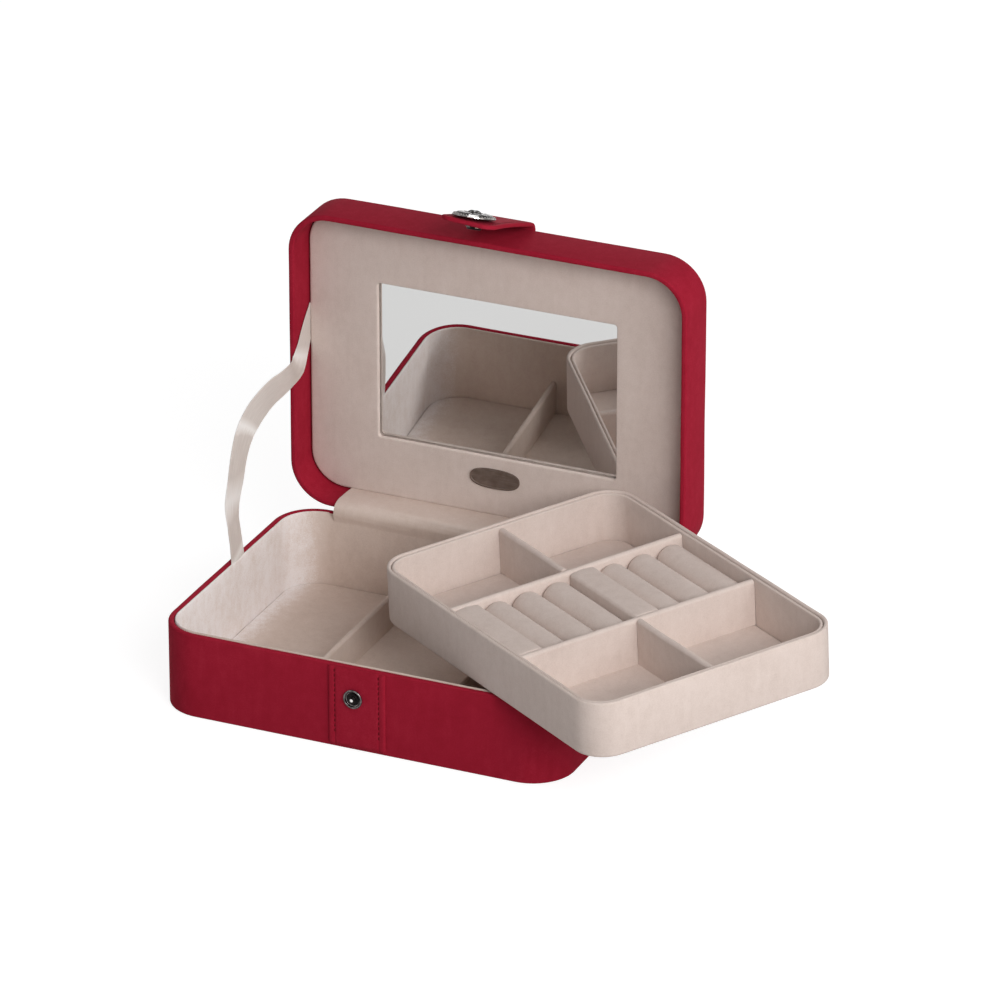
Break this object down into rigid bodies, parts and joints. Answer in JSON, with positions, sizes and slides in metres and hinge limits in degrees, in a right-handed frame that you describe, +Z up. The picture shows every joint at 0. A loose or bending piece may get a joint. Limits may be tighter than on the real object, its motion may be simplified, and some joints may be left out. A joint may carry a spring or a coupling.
{
  "type": "tiered jewelry box",
  "caption": "Soft-covered jewelry box with a mirrored hinged lid, snap tab, ribbon stay, divided base and a lift-out ring tray lying on top.",
  "frame": {"origin": "centre of the base's flat underside, on the surface the box stands on", "axes": "+X to the right along the front wall, +Y back towards the hinge, +Z up; the box is shown with its lid open and its tray lying on top"},
  "size_m": [0.3147, 0.2218, 0.2203],
  "materials": {
    "red_suede": "matte microsuede",
    "cream_suede": "matte microsuede",
    "dark_felt": "felt",
    "grey_board": "plain board",
    "mirror": "silvered glass",
    "plate_bronze": "dark bronze",
    "antique_silver": "antique silver",
    "gunmetal": "polished gunmetal",
    "cream_satin": "satin ribbon"
  },
  "bodies": {
    "base": {"base_shell": "red_suede", "base_underside_cover": "dark_felt", "base_wall_lining": "cream_suede", "base_floor_pad": "cream_suede", "base_divider_left": "cream_suede", "base_divider_right": "cream_suede", "snap_strip": "red_suede", "snap_stud": "gunmetal", "hinge_spine": "red_suede", "hinge_lining": "cream_suede", "ribbon_stay": "cream_satin"},
    "lid": {"lid_shell": "red_suede", "lid_panel": "cream_suede", "mirror_glass": "mirror", "mirror_backing": "grey_board", "name_plate": "plate_bronze", "tab_anchor": "red_suede"},
    "tab": {"closure_tab": "red_suede", "snap_cap": "antique_silver", "snap_socket": "gunmetal"},
    "tray": {"tray_shell": "cream_suede", "tray_wall_lining": "cream_suede", "tray_floor_pad": "cream_suede", "tray_cross_divider_rear": "cream_suede", "tray_cross_divider_front": "cream_suede", "tray_bay_divider_rear": "cream_suede", "tray_bay_divider_front": "cream_suede", "ring_pad_side": "cream_suede", "ring_pad_middle": "cream_suede", "ring_roll_1": "cream_suede", "ring_roll_2": "cream_suede", "ring_roll_3": "cream_suede", "ring_roll_4": "cream_suede", "ring_roll_5": "cream_suede", "ring_roll_6": "cream_suede"}
  },
  "joints": [
    {"name": "lid_hinge", "type": "hinge", "parent": "base", "child": "lid", "pos_m": [0, 0.076, 0.045], "axis": [1, 0, 0], "range_deg": [0, 90], "deforming": ["ribbon_stay", "hinge_lining", "hinge_spine"]},
    {"name": "tab_hinge", "type": "hinge", "parent": "lid", "child": "tab", "pos_m": [0, 0.09823, 0.19973], "axis": [1, 0, 0], "range_deg": [-60, 16]},
    {"name": "tray_lift", "type": "slide", "parent": "base", "child": "tray", "axis": [0, -0.9864, 0.1644], "range_m": [0, 0.304]}
  ],
  "couplings": [
    {"joint": "tray_lift", "follows": "lid_hinge", "m_per_rad": 0.19353}
  ]
}
